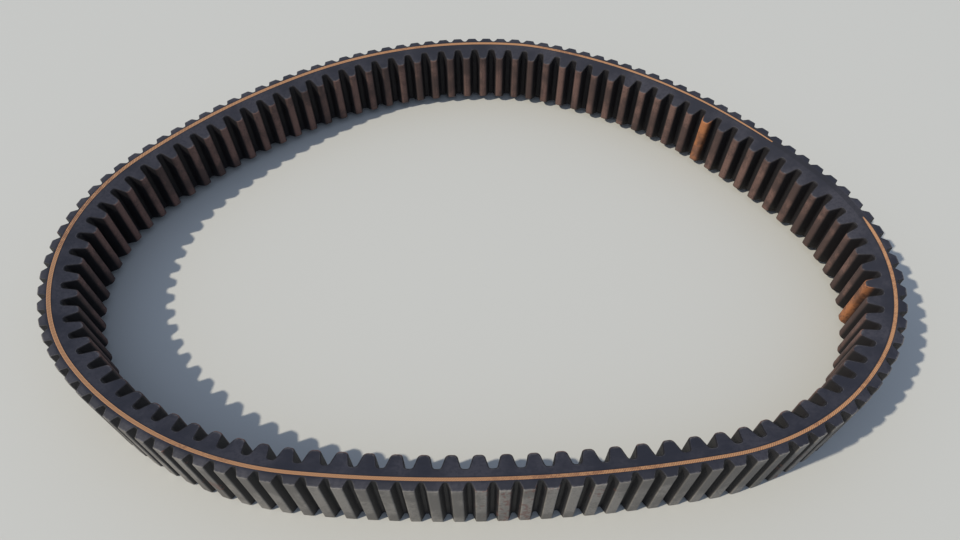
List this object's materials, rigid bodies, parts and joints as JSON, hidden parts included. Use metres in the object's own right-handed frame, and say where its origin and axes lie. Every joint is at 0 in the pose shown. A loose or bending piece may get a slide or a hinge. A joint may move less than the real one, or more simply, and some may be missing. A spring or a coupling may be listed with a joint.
{
  "type": "double cogged variable-speed drive belt",
  "caption": "Closed raw-edge V-belt with rounded cogs inside and shallow cogs outside, for a variable-speed pulley drive, lying on its side.",
  "frame": {"origin": "middle of the loop's extent, on the plane the belt lies on", "axes": "+Z across the belt's width, +X along the loop's longer extent"},
  "size_m": [0.406, 0.2902, 0.0375],
  "materials": {
    "outer_fabric": "dusty rubberised fabric",
    "overcord": "cut rubber",
    "gum": "cut rubber",
    "cord": "twisted cord, cut flush",
    "undercord": "cut rubber, polished by the sheaves",
    "inner_fabric": "rubberised fabric with brown dust"
  },
  "bodies": {
    "root": {"outer_facing": "outer_fabric", "overcord_rubber": "overcord", "outer_gum": "gum", "tensile_cord": "cord", "inner_gum": "gum", "undercord_rubber": "undercord", "inner_facing": "inner_fabric"}
  },
  "joints": []
}
